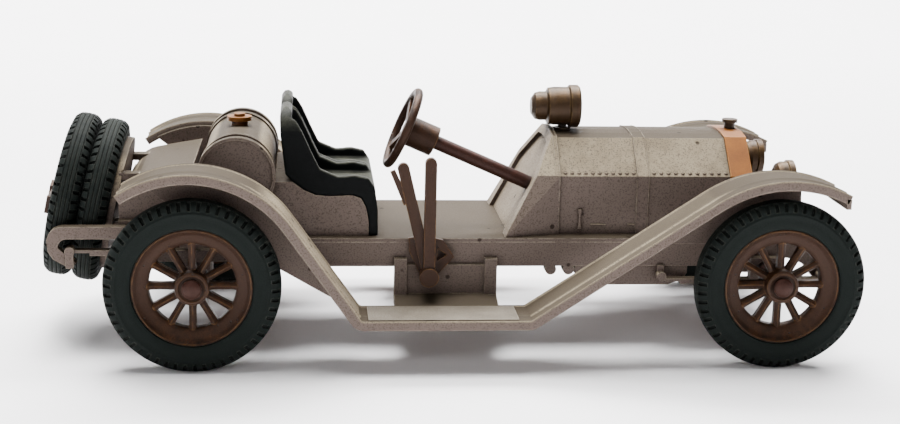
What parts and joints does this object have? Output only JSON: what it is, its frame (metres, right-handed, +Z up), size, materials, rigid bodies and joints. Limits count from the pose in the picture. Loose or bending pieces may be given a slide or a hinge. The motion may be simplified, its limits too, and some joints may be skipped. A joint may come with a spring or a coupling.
{
  "type": "diecast collector car",
  "caption": "Small cast-metal model of an early open two-seat sports car with spoked wheels, sweeping wings, bucket seats and stacked spare tyres.",
  "frame": {"origin": "on the surface that the tyres stand on, under the middle of the car", "axes": "+X forward along the bonnet, +Y to the car's left, +Z up"},
  "size_m": [0.085, 0.0356, 0.0269],
  "materials": {
    "silver_paint": "worn warm silver paint with pinholes",
    "worn_steel": "dull, dusty",
    "bronze_plating": "tarnished brown-gold plating",
    "brass_plating": "orange-gold plating, stained",
    "black_plastic": "satin black moulding",
    "black_core": "matt black",
    "tyre_rubber": "greenish black, pale worn shoulders"
  },
  "bodies": {
    "chassis": {"chassis_frame": "silver_paint", "floor_deck": "silver_paint", "base_plate": "worn_steel", "sump": "worn_steel", "base_rivets": "worn_steel", "right_wing": "silver_paint", "left_wing": "silver_paint", "right_tread": "worn_steel", "left_tread": "worn_steel", "right_step": "silver_paint", "left_step": "silver_paint", "rear_right_spring": "silver_paint", "rear_left_spring": "silver_paint", "front_right_spring": "silver_paint", "front_left_spring": "silver_paint", "tail_box": "silver_paint", "tank_saddles": "silver_paint", "fuel_tank": "silver_paint", "tank_straps": "silver_paint", "filler_cap": "brass_plating", "spare_carrier": "silver_paint", "inner_spare_tyre": "tyre_rubber", "outer_spare_tyre": "tyre_rubber", "spare_clamp": "bronze_plating", "seat_box": "silver_paint", "driver_seat": "black_plastic", "passenger_seat": "black_plastic", "scuttle": "silver_paint", "bonnet": "silver_paint", "radiator_shell": "brass_plating", "radiator_core": "black_core", "radiator_cap": "brass_plating", "right_headlamp": "brass_plating", "left_headlamp": "brass_plating", "searchlight": "brass_plating", "steering_column": "bronze_plating", "steering_wheel": "bronze_plating", "lever_quadrant": "bronze_plating", "brake_lever": "bronze_plating", "gear_lever": "bronze_plating", "lever_pivot": "bronze_plating"},
    "rear_axle_set": {"rear_axle": "worn_steel"},
    "front_axle_set": {"front_axle": "worn_steel"},
    "rear_right_wheel_set": {"rear_right_wheel": "bronze_plating", "rear_right_tyre": "tyre_rubber"},
    "rear_left_wheel_set": {"rear_left_wheel": "bronze_plating", "rear_left_tyre": "tyre_rubber"},
    "front_right_wheel_set": {"front_right_wheel": "bronze_plating", "front_right_tyre": "tyre_rubber"},
    "front_left_wheel_set": {"front_left_wheel": "bronze_plating", "front_left_tyre": "tyre_rubber"}
  },
  "joints": [
    {"name": "rear_axle_spin", "type": "hinge", "parent": "chassis", "child": "rear_axle_set", "pos_m": [-0.02588, 0, 0.0088], "axis": [0, 1, 0], "continuous": true},
    {"name": "front_axle_spin", "type": "hinge", "parent": "chassis", "child": "front_axle_set", "pos_m": [0.03372, 0, 0.0088], "axis": [0, 1, 0], "continuous": true},
    {"name": "rear_right_wheel_spin", "type": "hinge", "parent": "rear_axle_set", "child": "rear_right_wheel_set", "pos_m": [-0.02588, -0.0154, 0.0088], "axis": [0, 1, 0], "continuous": true},
    {"name": "rear_left_wheel_spin", "type": "hinge", "parent": "rear_axle_set", "child": "rear_left_wheel_set", "pos_m": [-0.02588, 0.0154, 0.0088], "axis": [0, 1, 0], "continuous": true},
    {"name": "front_right_wheel_spin", "type": "hinge", "parent": "front_axle_set", "child": "front_right_wheel_set", "pos_m": [0.03372, -0.0154, 0.0088], "axis": [0, 1, 0], "continuous": true},
    {"name": "front_left_wheel_spin", "type": "hinge", "parent": "front_axle_set", "child": "front_left_wheel_set", "pos_m": [0.03372, 0.0154, 0.0088], "axis": [0, 1, 0], "continuous": true}
  ]
}
